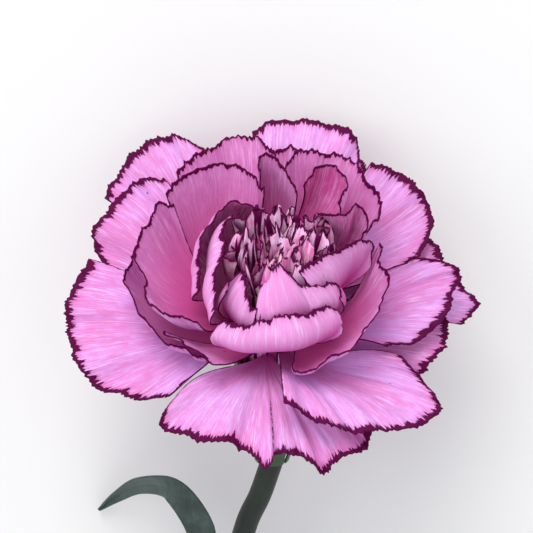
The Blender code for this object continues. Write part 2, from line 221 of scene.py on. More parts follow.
# %% A smooth curve through a few points
def through(points, share):
    """Points of the smooth curve through a list of points, for an array of shares 0 to 1."""
    points = np.array(points, float)
    padded = np.concatenate([[2 * points[0] - points[1]], points, [2 * points[-1] - points[-2]]])
    spot = np.clip(share, 0, 1) * (len(points) - 1)
    index = np.minimum(spot.astype(int), len(points) - 2)
    t = (spot - index)[..., None]
    before, start, end, after = (padded[index + step] for step in range(4))
    return (
        start
        + 0.5 * t * (end - before)
        + t ** 2 * (before - 2.5 * start + 2 * end - 0.5 * after)
        + t ** 3 * (1.5 * (start - end) + 0.5 * (after - before))
    )


def unwrapped(rim, near):
    """The rim with each bearing within half a turn of the one before."""
    result = []
    for bearing, radius, height in rim:
        bearing = near + (bearing - near + 180) % 360 - 180
        near = bearing
        result.append((bearing, radius, height))
    return result


def bezier_weights(share):
    """How much each of a Bezier curve's four points counts, for an array of shares 0 to 1."""
    rest = 1 - share
    return rest ** 3, 3 * share * rest ** 2, 3 * share ** 2 * rest, share ** 3


FIRST_GUARD = PETALS["outer"][0]
print("half way along the first rim:", through(FIRST_GUARD[4], np.array([0.5])).round(1))


# %% The blade and the claw
def runs_onward(rim):
    """Whether a rim runs towards larger bearings."""
    return rim[-1][0] > rim[0][0]


def petal_surface(tier, line, across, along):
    """Points of a petal's middle surface; along runs from the claw's foot (-1) to the rim (1)."""
    bearing, leave, depart, arrive, rim = line
    rim = unwrapped(rim, bearing)
    sense = 1 if runs_onward(rim) else -1
    ring = RING_RADIUS[tier]
    swing = math.degrees(CLAW_WIDTH[tier] / ring) * (across - 0.5) * sense
    end = through(rim, across)
    reach = REACH[tier] * np.hypot(end[..., 1] - ring, end[..., 2] - leave)
    s = np.maximum(along, 0)
    weights = bezier_weights(s)

    def bend(begin, away, held, finish):
        return sum(weight * stop for weight, stop in zip(weights, (begin, away, held, finish)))

    lift, lean = math.radians(depart), math.radians(arrive)
    if tier == "cup":
        held_out = arrive + 0.5 * end[..., 1]
        held_up = end[..., 2] - BELLY_SHARE * (end[..., 2] - leave)
    else:
        held_out = end[..., 1] - reach * math.cos(lean)
        held_up = end[..., 2] - reach * math.sin(lean)
    radius = bend(ring, ring + reach * math.cos(lift), held_out, end[..., 1])
    height = bend(leave, leave + reach * math.sin(lift), held_up, end[..., 2])
    fan = 1 - np.clip(1 - s, 0, 1) ** FAN_POWER
    heading = bearing + swing + (end[..., 0] - bearing - swing) * fan
    below = np.minimum(along, 0)
    height = height - below * (CLAW_FOOT - leave)
    taper = 1 - CLAW_TAPER * np.where(along < 0, np.maximum(height / CLAW_FOOT, 0), 0)
    return place_polar(heading, radius * taper, height)


for end_name, end_share in (("foot", -1.0), ("rim", 1.0)):
    end_place = petal_surface("outer", FIRST_GUARD, np.array([0.5]), np.array([end_share]))
    print("first guard petal,", end_name, "in mm:", end_place.round(1))


# %% [markdown]
# ## Ruffles and teeth
# Carnation petals are crimped along the rim and their edge is cut into fine uneven teeth.
# The teeth are real geometry: each column of the petal's grid ends a little earlier or
# later. The ruffles move the surface along its normal, by waves that grow towards the rim.
# Waves and teeth are drawn from a seeded generator, so the flower is the same every time.

# %% Waves along the rim
def waves(distance, lengths, seed):
    """A sum of sine waves of the given lengths in millimetres, with seeded phases."""
    draw = np.random.default_rng(seed)
    total = np.zeros_like(distance)
    for length in lengths:
        phase = draw.uniform(0, 2 * math.pi)
        drift = draw.uniform(0.85, 1.15)
        size = math.sqrt(length / lengths[0])
        total += size * np.sin(2 * math.pi * distance / (length * drift) + phase)
    return total / len(lengths)


SCALLOP = 0.7
SCALLOP_LENGTHS = (14.0, 6.0, 3.2)


def teeth(distance, pitch, depth, seed):
    """How far the rim stands out, in millimetres, along a rim of uneven teeth."""
    draw = np.random.default_rng(seed)
    span = distance.max() - distance.min()
    corners = 2 * max(int(span / pitch), 3) + 1
    spots = np.linspace(distance.min(), distance.max(), corners)
    spots += draw.uniform(-0.42, 0.42, corners) * pitch / 2
    peaks = np.where(np.arange(corners) % 2, 1.0, 0.0)
    heights = peaks * draw.uniform(0.15, 1.0, corners) ** 1.5
    scallop = waves(distance, SCALLOP_LENGTHS, seed + 1)
    return depth * (np.interp(distance, np.sort(spots), heights) - 0.5) + SCALLOP * scallop


sample = teeth(np.linspace(0, 20, 200), 0.9, 0.6, 0)
print("a sample rim stands out from", sample.min().round(2), "to", sample.max().round(2), "mm")


# %% Lengths and normals on a grid
def lengths_between(points, axis):
    """Distance from the first point along one direction of a grid, from point to point."""
    steps = np.linalg.norm(np.diff(points, axis=axis), axis=-1)
    return np.concatenate([np.zeros_like(np.take(steps, [0], axis)), np.cumsum(steps, axis)], axis)


def normals_of(points):
    """A unit normal at each point of a grid."""
    across = np.gradient(points, axis=1)
    along = np.gradient(points, axis=0)
    normal = np.cross(across, along)
    size = np.linalg.norm(normal, axis=-1, keepdims=True)
    return normal / np.maximum(size, 1e-9)


three_points = np.array([(0.0, 0.0, 0.0), (1.0, 0.0, 0.0), (3.0, 0.0, 0.0)])
print("three points in a row, summed from the first:", lengths_between(three_points, 0))


# %% A whole petal as a grid
RUFFLE = {"outer": 1.2, "middle": 0.9, "cup": 0.5, "centre": 1.5}
RUFFLE_LENGTHS = {
    "outer": (13.0, 7.0), "middle": (11.0, 6.0), "cup": (9.0, 5.0), "centre": (4.0, 2.6),
}
RUFFLE_GROWTH = 2.2
CRIMP = 0.16
CRIMP_LENGTHS = (2.6, 1.7)
CRIMP_GROWTH = 8
TOOTH_PITCH = 0.9
TOOTH_DEPTH = 0.6
TOOTH_GROWTH = 9
SMOOTH_SIDE = 0.04
COLUMN_WIDTH = 0.22
CLAW_ROWS = 5
BLADE_ROWS = 34


def petal_grid(tier, line, seed):
    """Points in millimetres, and what the finish needs to know at each of them."""
    coarse = petal_surface(tier, line, np.linspace(0, 1, 60), np.ones(60))
    rim_length = lengths_between(coarse, 0)[-1]
    columns = max(int(rim_length / COLUMN_WIDTH), 24)
    across = np.linspace(0, 1, columns + 1)
    claw = np.linspace(-1, 0, CLAW_ROWS, endpoint=False)
    blade = 1 - (1 - np.linspace(0, 1, BLADE_ROWS + 1)) ** 1.25
    along = np.concatenate([claw, blade])
    across, along = np.meshgrid(across, along)
    plain = petal_surface(tier, line, across, along)
    blade_length = lengths_between(plain[CLAW_ROWS:], 0)[-1]
    vein = (across - 0.5) * rim_length
    edge_fade = np.clip(np.minimum(across, 1 - across) / SMOOTH_SIDE, 0, 1)
    cut = teeth(vein[0], TOOTH_PITCH, TOOTH_DEPTH, seed) * edge_fade[0]
    along = along + cut / blade_length * np.clip(along, 0, 1) ** TOOTH_GROWTH
    points = petal_surface(tier, line, across, along)
    s = np.clip(along, 0, 1.1)
    ruffle = RUFFLE[tier] * s ** RUFFLE_GROWTH * waves(vein, RUFFLE_LENGTHS[tier], seed + 2)
    crimp = CRIMP * s ** CRIMP_GROWTH * waves(vein, CRIMP_LENGTHS, seed + 3)
    points = points + normals_of(points) * (ruffle + crimp)[..., None]
    from_foot = lengths_between(points, 0)
    from_side = lengths_between(points, 1)
    rim_gap = from_foot[-1] - from_foot
    side_gap = np.minimum(from_side, from_side[:, -1:] - from_side)
    fan = np.stack([vein, from_foot - from_foot[CLAW_ROWS], np.full_like(vein, seed % 97)], -1)
    edge = np.stack([rim_gap, side_gap, s], -1)
    face_up = slice(None, None, -1 if runs_onward(unwrapped(line[4], line[0])) else 1)
    return points[:, face_up], {"fan": fan[:, face_up], "edge": edge[:, face_up]}


guard_grid = petal_grid("outer", FIRST_GUARD, 0)[0]
print("rows and columns of the first guard petal:", guard_grid.shape[:2])


# %% [markdown]
# ## From a grid to a thin solid piece
# The grid becomes one sheet of four-sided faces. Solidify gives it a thickness, with its
# second material on the underside, because the back of a carnation petal is paler than its
# face. The values that the finish needs ride along as attributes of the points.

# %% Grid to object
PETAL_THICKNESS = 0.25


def grid_object(name, sheets, materials, thickness):
    """A closed thin object from grids of points in millimetres, on body root."""
    places, faces = [], []
    for points, _ in sheets:
        rows, columns = points.shape[:2]
        index = sum(map(len, places)) + np.arange(rows * columns).reshape(rows, columns)
        corners = [index[:-1, :-1], index[:-1, 1:], index[1:, 1:], index[1:, :-1]]
        faces += np.stack(corners, -1).reshape(-1, 4).tolist()
        places.append(points.reshape(-1, 3) * MM)
    mesh = bpy.data.meshes.new(name)
    mesh.from_pydata(np.concatenate(places).tolist(), [], faces)
    for label in sheets[0][1]:
        layer = mesh.attributes.new(label, "FLOAT_VECTOR", "POINT")
        values = np.concatenate([attributes[label].reshape(-1, 3) for _, attributes in sheets])
        layer.data.foreach_set("vector", values.astype(np.float32).ravel())
    mesh.shade_smooth()
    piece = bpy.data.objects.new(name, mesh)
    bpy.context.scene.collection.objects.link(piece)
    for shade in materials:
        mesh.materials.append(shade)
    solidify = piece.modifiers.new("thickness", "SOLIDIFY")
    solidify.thickness = thickness * MM
    solidify.offset = 0
    solidify.material_offset = len(materials) - 1
    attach(piece, "root")
    return piece


print("petal thickness:", PETAL_THICKNESS, "mm")

# %% [markdown]
# ## Petal finish
# Two effects make a picotee: fine streaks that fan out from the claw, and the dark margin
# that bleeds inward along those streaks. Both are read from the fan coordinates of each
# petal, stretched along the veins. They form one node group with named inputs, so face and
# reverse, guard and heart petals share it with their own values. Broad stripes mark the
# strips of the heart, and one front petal has a broken dark streak down its fold, as a
# picotee often throws.

# %% Adding and feeding nodes
def add_node(tree, kind, **settings):
    node = tree.nodes.new(kind)
    for key, value in settings.items():
        setattr(node, key, value)
    return node


def feed(tree, source, target):
    """Joins an output to an input, or sets the input where the source is a plain value."""
    if isinstance(source, bpy.types.NodeSocket):
        tree.links.new(source, target)
    else:
        target.default_value = source


def math_node(tree, operation, first, second=0.0, third=0.0):
    node = add_node(tree, "ShaderNodeMath", operation=operation)
    for socket, value in zip(node.inputs, (first, second, third)):
        feed(tree, value, socket)
    return node.outputs[0]


def remap(tree, value, low, high, to_low=0.0, to_high=1.0, smooth=True):
    node = add_node(tree, "ShaderNodeMapRange")
    node.interpolation_type = "SMOOTHSTEP" if smooth else "LINEAR"
    for socket, item in zip(node.inputs, (value, low, high, to_low, to_high)):
        feed(tree, item, socket)
    return node.outputs[0]


print("nodes can be added, fed, used for sums and remapped")


# %% Mixing colours and making noise
def mix_colour(tree, share, first, second):
    node = add_node(tree, "ShaderNodeMix", data_type="RGBA")
    feed(tree, share, node.inputs["Factor"])
    colours = [socket for socket in node.inputs if socket.type == "RGBA"]
    for socket, item in zip(colours, (first, second)):
        feed(tree, item, socket)
    return [socket for socket in node.outputs if socket.type == "RGBA"][0]


def noise(tree, vector, scale, detail=2.0, roughness=0.5):
    node = add_node(tree, "ShaderNodeTexNoise")
    feed(tree, vector, node.inputs["Vector"])
    node.inputs["Scale"].default_value = scale
    node.inputs["Detail"].default_value = detail
    node.inputs["Roughness"].default_value = roughness
    return node.outputs[0]


def stretched(tree, vector, scale):
    node = add_node(tree, "ShaderNodeVectorMath", operation="MULTIPLY")
    feed(tree, vector, node.inputs[0])
    node.inputs[1].default_value = scale
    return node.outputs[0]


print("colours can be mixed, and noise stretched along the veins")


# %% An empty node group
def new_group(name, inputs, outputs):
    """A node group with the given sockets, and its input and output nodes."""
    group = bpy.data.node_groups.new(name, "ShaderNodeTree")
    for label, kind, value in inputs:
        socket = group.interface.new_socket(label, in_out="INPUT", socket_type=kind)
        if value is not None:
            socket.default_value = value
    for label, kind in outputs:
        group.interface.new_socket(label, in_out="OUTPUT", socket_type=kind)
    return group, group.nodes.new("NodeGroupInput"), group.nodes.new("NodeGroupOutput")


print("a group has named inputs and outputs")


# %% The dark margin
BLEED_DEPTH = 1.6


def margin_and_bleed(group, given):
    """Masks of the margin along rim and sides, and of the colour that bleeds in from it."""
    fan = given.outputs["Fan"]
    split = add_node(group, "ShaderNodeSeparateXYZ")
    group.links.new(given.outputs["Edge"], split.inputs[0])
    rim_gap, side_gap, along = split.outputs
    teeth_noise = noise(group, stretched(group, fan, (1.0, 0.12, 3.1)), 1.7, 3.0, 0.7)
    broad_noise = noise(group, stretched(group, fan, (0.16, 0.05, 1.7)), 1.0, 1.0)
    feathers = remap(group, teeth_noise, 0.4, 0.75, smooth=False)
    reach = math_node(group, "MULTIPLY", feathers, given.outputs["Feather"])
    widths = remap(group, broad_noise, 0.3, 0.7, 0.7, 1.3)
    width = math_node(group, "MULTIPLY", widths, given.outputs["Margin Width"])
    limit = math_node(group, "ADD", width, reach)
    inside = math_node(group, "SUBTRACT", limit, rim_gap)
    rim_mask = remap(group, inside, -0.08, 0.12)
    side_widths = remap(group, noise(group, fan, 0.9, 2.0), 0.3, 0.7, 0.5, 1.4)
    side_limit = math_node(group, "MULTIPLY", side_widths, given.outputs["Side Width"])
    side_inside = math_node(group, "SUBTRACT", side_limit, side_gap)
    side_fade = remap(group, along, 0.02, 0.2)
    side_mask = math_node(group, "MULTIPLY", remap(group, side_inside, -0.08, 0.08), side_fade)
    margin = math_node(group, "MAXIMUM", rim_mask, side_mask)
    return margin, remap(group, inside, -BLEED_DEPTH, 0.2)


print("the margin's colour bleeds in by up to", BLEED_DEPTH, "mm")


# %% Streaks, stripes, blotches and specks
SPECK_SIZE = 0.055
SPECK_RARITY = 0.86


def vein_marks(group, fan):
    """Masks that follow the veins or dot the blade, each under its output's name."""
    streaks = noise(group, stretched(group, fan, (1.0, 0.045, 5.3)), 3.2, 4.0, 0.7)
    stripes = noise(group, stretched(group, fan, (1.0, 0.07, 9.1)), 0.9, 1.0)
    broad = noise(group, stretched(group, fan, (0.09, 0.05, 2.3)), 1.0, 2.0)
    mottle = noise(group, stretched(group, fan, (0.9, 0.35, 3.7)), 1.0, 3.0, 0.6)
    broad_share = math_node(group, "MULTIPLY", broad, 0.55)
    blotches = math_node(group, "MULTIPLY_ADD", mottle, 0.45, broad_share)
    cells = add_node(group, "ShaderNodeTexVoronoi")
    group.links.new(stretched(group, fan, (0.3, 0.16, 7.0)), cells.inputs["Vector"])
    cells.inputs["Scale"].default_value = 1.0
    near = math_node(group, "LESS_THAN", cells.outputs["Distance"], SPECK_SIZE)
    tint = add_node(group, "ShaderNodeSeparateColor")
    group.links.new(cells.outputs["Color"], tint.inputs[0])
    chosen = math_node(group, "GREATER_THAN", tint.outputs[0], SPECK_RARITY)
    return {
        "Streaks": remap(group, streaks, 0.3, 0.7, smooth=False),
        "Stripes": remap(group, stripes, 0.56, 0.62),
        "Blotches": remap(group, blotches, 0.37, 0.63),
        "Specks": math_node(group, "MULTIPLY", near, chosen),
    }


print("cells of the blade that hold a speck:", round(1 - SPECK_RARITY, 2))


# %% The picotee group
def build_picotee():
    """Margin, streaks and the other marks of a petal, from its fan and edge coordinates."""
    group, given, result = new_group(
        "picotee",
        (
            ("Fan", "NodeSocketVector", None),
            ("Edge", "NodeSocketVector", None),
            ("Margin Width", "NodeSocketFloat", 1.0),
            ("Feather", "NodeSocketFloat", 1.2),
            ("Side Width", "NodeSocketFloat", 0.3),
        ),
        tuple(
            (label, "NodeSocketFloat")
            for label in ("Margin", "Bleed", "Streaks", "Blotches", "Specks", "Stripes")
        ),
    )
    margin, bleed = margin_and_bleed(group, given)
    masks = {"Margin": margin, "Bleed": bleed, **vein_marks(group, given.outputs["Fan"])}
    for label, mask in masks.items():
        group.links.new(mask, result.inputs[label])
    return group


PICOTEE = build_picotee()
print("picotee group has", len(PICOTEE.nodes), "nodes")


# %% The colours of the petals
LILAC = (0.67, 0.34, 0.74, 1)
PINK = (0.65, 0.21, 0.51, 1)
FLUSH = (0.76, 0.29, 0.64, 1)
GLOW = (0.78, 0.35, 0.70, 1)
DEPTH = (0.58, 0.075, 0.36, 1)
PALE = (0.87, 0.62, 0.91, 1)
MAGENTA = (0.42, 0.03, 0.24, 1)
MAROON = (0.088, 0.0, 0.042, 1)
MAUVE = (0.55, 0.24, 0.48, 1)
CREAM = (0.97, 0.84, 0.70, 1)
ROSE = (0.64, 0.095, 0.36, 1)
FRINGE = (0.50, 0.03, 0.28, 1)
print("the margin is", MAROON[:3])


# %% One broken streak
STREAK_WANDER = 0.8


def dashes(tree, fan, along, vein_at):
    """Mask of one broken line that follows a vein, as some guard petals show."""
    vein = add_node(tree, "ShaderNodeSeparateXYZ")
    tree.links.new(fan, vein.inputs[0])
    wander = noise(tree, stretched(tree, fan, (0.0, 0.5, 1.0)), 1.0)
    low = vein_at - STREAK_WANDER
    middle = math_node(tree, "MULTIPLY_ADD", wander, 2 * STREAK_WANDER, low)
    offset = math_node(tree, "SUBTRACT", vein.outputs[0], middle)
    near = remap(tree, math_node(tree, "ABSOLUTE", offset), 0.34, 0.42, 1.0, 0.0)
    gaps = remap(tree, noise(tree, stretched(tree, fan, (0.0, 0.8, 2.0)), 1.0), 0.47, 0.5)
    begins, ends = remap(tree, along, 0.5, 0.56), remap(tree, along, 0.9, 0.94, 1.0, 0.0)
    reach = math_node(tree, "MULTIPLY", begins, ends)
    return math_node(tree, "MULTIPLY", math_node(tree, "MULTIPLY", near, gaps), reach)


print("the streak wanders", STREAK_WANDER, "mm to either side of its vein")


# %% The colour over one petal
PALE_STREAKS, DEEP_STREAKS, BLEED_SHARE = 0.65, 0.6, 0.3


def petal_colour(tree, marks, along, colours, root_shade_reach):
    """Light and deep patches under pale and deep streaks, the root colour, and the margin's bleed.
    """
    light, deep, pale, root = colours
    streaks = marks.outputs["Streaks"]
    colour = mix_colour(tree, marks.outputs["Blotches"], light, deep)
    paler = math_node(tree, "MULTIPLY", remap(tree, streaks, 0.5, 1.0), PALE_STREAKS)
    colour = mix_colour(tree, paler, colour, pale)
    deeper = math_node(tree, "MULTIPLY", remap(tree, streaks, 0.5, 0.0), DEEP_STREAKS)
    colour = mix_colour(tree, deeper, colour, deep)
    # Painted shade: the root colour darkens each petal towards its claw, deep in the bloom, on top
    # of the petal's own deeper base.
    root_shade_share = remap(tree, along, *root_shade_reach, 1.0, 0.0)
    colour = mix_colour(tree, root_shade_share, colour, root)
    bleed = math_node(tree, "MULTIPLY", marks.outputs["Bleed"], BLEED_SHARE)
    return mix_colour(tree, bleed, colour, FRINGE)


print("pale streaks take", PALE_STREAKS, "of the colour, deep ones", DEEP_STREAKS)


# %% One petal material
def petal_material(name, colours, widths, root_shade_reach, striped=False, streak_at=None):
    """A petal surface of light, deep, pale and root colours, with its dark marks on top.

    Widths, in millimetres: the margin, its feathering, the sides. The root colour fades over
    the root reach, where 0 is the throat and 1 the rim. It is the petal's deeper base tone with
    painted shade where the bloom is deep and crowded.
    """
    shade = bpy.data.materials.new(name)
    shade.use_nodes = True
    tree = shade.node_tree
    principled = tree.nodes["Principled BSDF"]
    fan = add_node(tree, "ShaderNodeAttribute", attribute_name="fan").outputs["Vector"]
    edge = add_node(tree, "ShaderNodeAttribute", attribute_name="edge").outputs["Vector"]
    marks = add_node(tree, "ShaderNodeGroup", node_tree=PICOTEE)
    labels = ("Fan", "Edge", "Margin Width", "Feather", "Side Width")
    for label, value in zip(labels, (fan, edge, *widths)):
        feed(tree, value, marks.inputs[label])
    split = add_node(tree, "ShaderNodeSeparateXYZ")
    tree.links.new(edge, split.inputs[0])
    along = split.outputs[2]
    colour = petal_colour(tree, marks, along, colours, root_shade_reach)
    dark = [marks.outputs["Specks"], marks.outputs["Margin"]]
    if streak_at is not None:
        dark.insert(0, dashes(tree, fan, along, streak_at))
    if striped:
        dark.insert(0, marks.outputs["Stripes"])
    for mask in dark:
        colour = mix_colour(tree, mask, colour, MAROON)
    tree.links.new(colour, principled.inputs["Base Color"])
    roughness = math_node(tree, "MULTIPLY_ADD", marks.outputs["Streaks"], 0.12, 0.5)
    tree.links.new(roughness, principled.inputs["Roughness"])
    bump = add_node(tree, "ShaderNodeBump")
    bump.inputs["Strength"].default_value = 0.35
    bump.inputs["Distance"].default_value = 0.12 * MM
    tree.links.new(marks.outputs["Streaks"], bump.inputs["Height"])
    tree.links.new(bump.outputs[0], principled.inputs["Normal"])
    principled.inputs["Specular IOR Level"].default_value = 0.08
    principled.inputs["Subsurface Weight"].default_value = 0.1
    principled.inputs["Subsurface Radius"].default_value = (1.0, 0.35, 0.7)
    principled.inputs["Subsurface Scale"].default_value = 0.3 * MM
    return shade


# The last colour of each finish is the root colour: painted shade deep in the bloom over the
# petal's deeper base, fading over the root reach given last.
GUARD_FACE = ((LILAC, PINK, PALE, MAGENTA), (0.8, 1.8, 0.22), (-0.1, 0.55))
BROKEN_STREAK = petal_material(
    "guard petal face with a broken streak", *GUARD_FACE, streak_at=0.6,
)
print("first petal material:", BROKEN_STREAK.name)


# %% Faces and backs of the four tiers
# Here too the last colour is the root colour: painted depth shade over the petal's deeper base.
FACES = {
    "outer": petal_material("guard petal face", *GUARD_FACE),
    "middle": petal_material(
        "middle petal face", (FLUSH, PINK, PALE, ROSE), (0.4, 1.1, 0.18), (0.3, 1.0),
    ),
    "cup": petal_material(
        "cup petal face", (FLUSH, ROSE, PALE, ROSE), (0.3, 0.9, 0.2), (0.0, 0.7),
    ),
    "centre": petal_material(
        "heart petal face", (PALE, ROSE, CREAM, MAGENTA), (0.12, 0.8, 0.15), (0.45, 1.0),
        striped=True,
    ),
}
REVERSES = {
    "outer": petal_material(
        "guard petal reverse", (MAUVE, PINK, PALE, MAUVE), (0.6, 0.9, 0.2), (0.0, 0.3),
    ),
    "middle": petal_material(
        "middle petal reverse", (LILAC, PINK, PALE, MAUVE), (0.4, 1.0, 0.18), (0.0, 0.4),
    ),
    "cup": petal_material(
        "cup petal reverse", (GLOW, FLUSH, PALE, DEPTH), (0.4, 1.3, 0.2), (0.3, 0.9),
    ),
    "centre": petal_material(
        "heart petal reverse", (CREAM, PINK, PALE, MAGENTA), (0.12, 0.8, 0.15), (0.35, 0.95),
        striped=True,
    ),
}
print("petal materials:", len(FACES) + len(REVERSES) + 1)

# %% [markdown]
# ## Growing the bloom
# Each line of the table becomes a piece that stands for the plain petal of the same name. In
# a double flower the stamens have turned into dozens of narrow striped strips that crowd the
# heart. Hair particles could scatter them, but each must stay a real curled sheet with teeth,
# so they are grown by a formula of their own, with the petals' waves and teeth, and join the
# nearest heart petal's piece.

# %% Strips that crowd the heart
STRIPS = 38
STRIP_ROWS, STRIP_COLUMNS = 26, 14
GOLDEN_ANGLE = 137.5
HEART_MIDDLE = (2, 4)
HEART_REACH = (9, 7.5)
HEART_TOP = 26
ROOT_RING = 2.4
SLIM_WIDTHS, BROAD_WIDTHS = (1.3, 2.4, 3.6), (2.2, 3.4, 4.4)


def strip_grid(number):
    """One narrow crumpled petaloid: its bearing, its points and what the finish needs."""
    draw = np.random.default_rng(500 + number)
    spread, turn = math.sqrt((number + 0.5) / STRIPS), math.radians(GOLDEN_ANGLE * number)
    tip = np.array((
        HEART_MIDDLE[0] + HEART_REACH[0] * spread * math.cos(turn),
        HEART_MIDDLE[1] + HEART_REACH[1] * spread * math.sin(turn),
    ))
    top = HEART_TOP + 0.2 * tip[1] + draw.uniform(-2.0, 2.5)
    bearing = math.degrees(math.atan2(tip[1], tip[0])) % 360
    root = ROOT_RING * np.array((math.cos(math.radians(bearing)), math.sin(math.radians(bearing))))
    side, along = np.meshgrid(np.linspace(-1, 1, STRIP_COLUMNS), np.linspace(0, 1, STRIP_ROWS))
    bow = (tip[0] * 0.95 + draw.uniform(-3, 3), tip[1] - draw.uniform(3.5, 7))
    stops = ((*root, 7), (0.6 * tip[0], 0.6 * tip[1] - 2, 15), (*bow, top - 4), (*tip, top))
    weights = bezier_weights(along)
    middle = sum(weight[..., None] * np.array(stop) for weight, stop in zip(weights, stops))
    facing = math.radians(draw.uniform(-50, 50)) + math.radians(draw.uniform(-60, 60)) * along
    widths = SLIM_WIDTHS if tip[0] < 2 else BROAD_WIDTHS
    opening = 0.35 + 0.65 * np.minimum(1, 1.6 * along)
    closing = 1 - 0.45 * along ** 8
    half = draw.choice(widths) * draw.uniform(0.85, 1.15) * opening * closing
    pleat = waves(side * half, (3.1, 1.7), 900 + number) * 0.8 * along ** 1.5
    trough = draw.uniform(-1.3, 1.3) * side ** 2 * along - pleat
    across = middle[..., 0] + side * half * np.cos(facing) - trough * np.sin(facing)
    back = middle[..., 1] + side * half * np.sin(facing) + trough * np.cos(facing)
    length = lengths_between(middle, 0)
    ragged = teeth(side[-1] * half[-1], 0.8, 1.2, 300 + number)
    back = back + ragged * along ** 6
    height = middle[..., 2] + (ragged + draw.uniform(-1, 1) * side) * along ** 4
    return bearing, place(across, -back, height), {
        "fan": np.stack([side * half, length, np.full_like(side, number)], -1),
        "edge": np.stack([length[-1] - length, (1 - np.abs(side)) * half, along], -1),
    }


print("strips:", STRIPS, "each a grid of", STRIP_ROWS, "by", STRIP_COLUMNS)


# %% Grow the petals
STREAKED = "outer_petal_11"


def strips_by_petal():
    """The strips, shared out to the centre petal nearest in bearing."""
    bearings = [line[0] for line in PETALS["centre"]]
    shared = [[] for _ in bearings]
    for number in range(STRIPS):
        bearing, points, attributes = strip_grid(number)
        gaps = [abs((bearing - other + 180) % 360 - 180) for other in bearings]
        shared[gaps.index(min(gaps))].append((points, attributes))
    return shared


def grow_petals():
    count = 0
    strips = strips_by_petal()
    for tier, lines in PETALS.items():
        for number, line in enumerate(lines, 1):
            node = f"{tier}_petal_{number:02d}"
            sheets = [petal_grid(tier, line, 100 * list(PETALS).index(tier) + 7 * number)]
            if tier == "centre":
                sheets += strips[number - 1]
            face = BROKEN_STREAK if node == STREAKED else FACES[tier]
            piece = grid_object(f"{node}_ruffled", sheets, (face, REVERSES[tier]), PETAL_THICKNESS)
            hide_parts(node)
            count += 2 * len(piece.data.polygons)
    return count


print("quads in the petals, both sides:", grow_petals())

# %% [markdown]
# ## Green parts
# Calyx, stem and leaves are dark green under a thin waxy bloom. Where the surface is seen
# edge on, a Layer Weight node mixes a paler tint into the base colour: a painted sheen,
# which the shader's own sheen could stand in for without reading the angle of view. A
# procedural mottling with fine lengthwise fibres keeps the greens from looking like plastic.

# %% The waxy green finish
def green_material(name, base, wax, fibre_scale, roughness):
    """Mottled green under a waxy bloom, with a painted sheen where the surface is seen edge on."""
    shade = bpy.data.materials.new(name)
    shade.use_nodes = True
    tree = shade.node_tree
    principled = tree.nodes["Principled BSDF"]
    place_on = add_node(tree, "ShaderNodeTexCoord").outputs["Object"]
    mottle = noise(tree, place_on, 260.0, 3.0)
    fibres = noise(tree, stretched(tree, place_on, fibre_scale), 1.0, 3.0, 0.6)
    colour = mix_colour(tree, remap(tree, mottle, 0.35, 0.7), base, wax)
    fibre = math_node(tree, "MULTIPLY", remap(tree, fibres, 0.35, 0.65), 0.35)
    colour = mix_colour(tree, fibre, colour, tuple(0.5 * value for value in base[:3]) + (1,))
    # Painted sheen: a paler tint laid on the base colour where the surface is seen edge on.
    graze = add_node(tree, "ShaderNodeLayerWeight")
    graze.inputs["Blend"].default_value = 0.35
    painted_sheen_share = math_node(tree, "MULTIPLY", remap(tree, graze.outputs["Facing"], 0.4, 1.0), 0.6)
    painted_sheen_colour = tuple(min(1, 3.0 * value) for value in wax[:3]) + (1,)
    colour = mix_colour(tree, painted_sheen_share, colour, painted_sheen_colour)
    tree.links.new(colour, principled.inputs["Base Color"])
    dullness = math_node(tree, "MULTIPLY_ADD", mottle, 0.25, roughness)
    tree.links.new(dullness, principled.inputs["Roughness"])
    bump = add_node(tree, "ShaderNodeBump")
    bump.inputs["Strength"].default_value = 0.3
    bump.inputs["Distance"].default_value = 0.1 * MM
    tree.links.new(fibres, bump.inputs["Height"])
    tree.links.new(bump.outputs[0], principled.inputs["Normal"])
    return shade


STEM_GREEN = green_material(
    "waxy stem", (0.004, 0.009, 0.004, 1), (0.011, 0.022, 0.012, 1), (1400, 40, 1400), 0.4,
)
CALYX_GREEN = green_material(
    "waxy calyx", (0.018, 0.05, 0.01, 1), (0.035, 0.09, 0.022, 1), (1400, 60, 1400), 0.4,
)
LEAF_GREEN = green_material(
    "waxy leaf", (0.022, 0.045, 0.034, 1), (0.05, 0.09, 0.08, 1), (1500, 50, 1500), 0.42,
)
TISSUE = green_material(
    "pale inner tissue", (0.5, 0.52, 0.28, 1), (0.66, 0.66, 0.42, 1), (900, 60, 900), 0.45,
)
print("green finishes:", [shade.name for shade in (STEM_GREEN, CALYX_GREEN, LEAF_GREEN, TISSUE)])


# %% [markdown]
# ## Stem and leaves
# The stem swells at each joint, where two narrow leaves clasp it. Both follow the same few
# points as the engineering model. The stem is a tube of rings; a leaf is a keeled blade that
# tapers to a fine tip, built with the same grid function as the petals.

